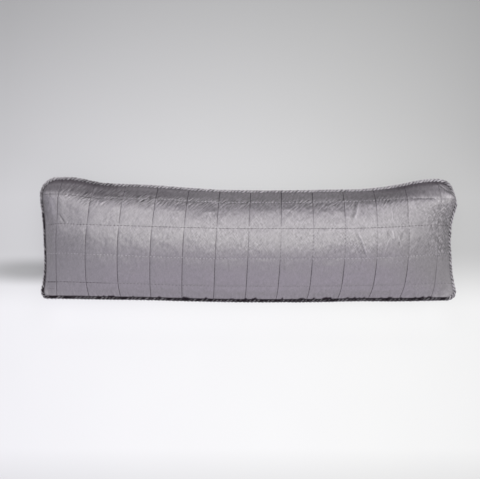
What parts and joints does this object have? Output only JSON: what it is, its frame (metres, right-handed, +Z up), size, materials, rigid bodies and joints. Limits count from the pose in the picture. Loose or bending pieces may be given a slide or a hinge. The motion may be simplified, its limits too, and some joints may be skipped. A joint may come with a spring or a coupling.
{
  "type": "body pillow",
  "caption": "Long filled body pillow with a quilted face of squares, a plain back, drawn-in sides, raised corners and a twisted cord sewn round its seam.",
  "frame": {"origin": "on the surface that the pillow lies on, below the centre of its outline", "axes": "+X along the pillow, +Y across it towards the edge that dips between the two raised corners, +Z up, out of the quilted face"},
  "size_m": [1.3651, 0.411, 0.1874],
  "materials": {
    "quilted_satin": "soft satin with a slubbed, crinkled weave",
    "twisted_cord": "satin yarn in three twisted strands"
  },
  "bodies": {
    "root": {"cushion": "quilted_satin", "piping_cord": "twisted_cord"}
  },
  "joints": []
}
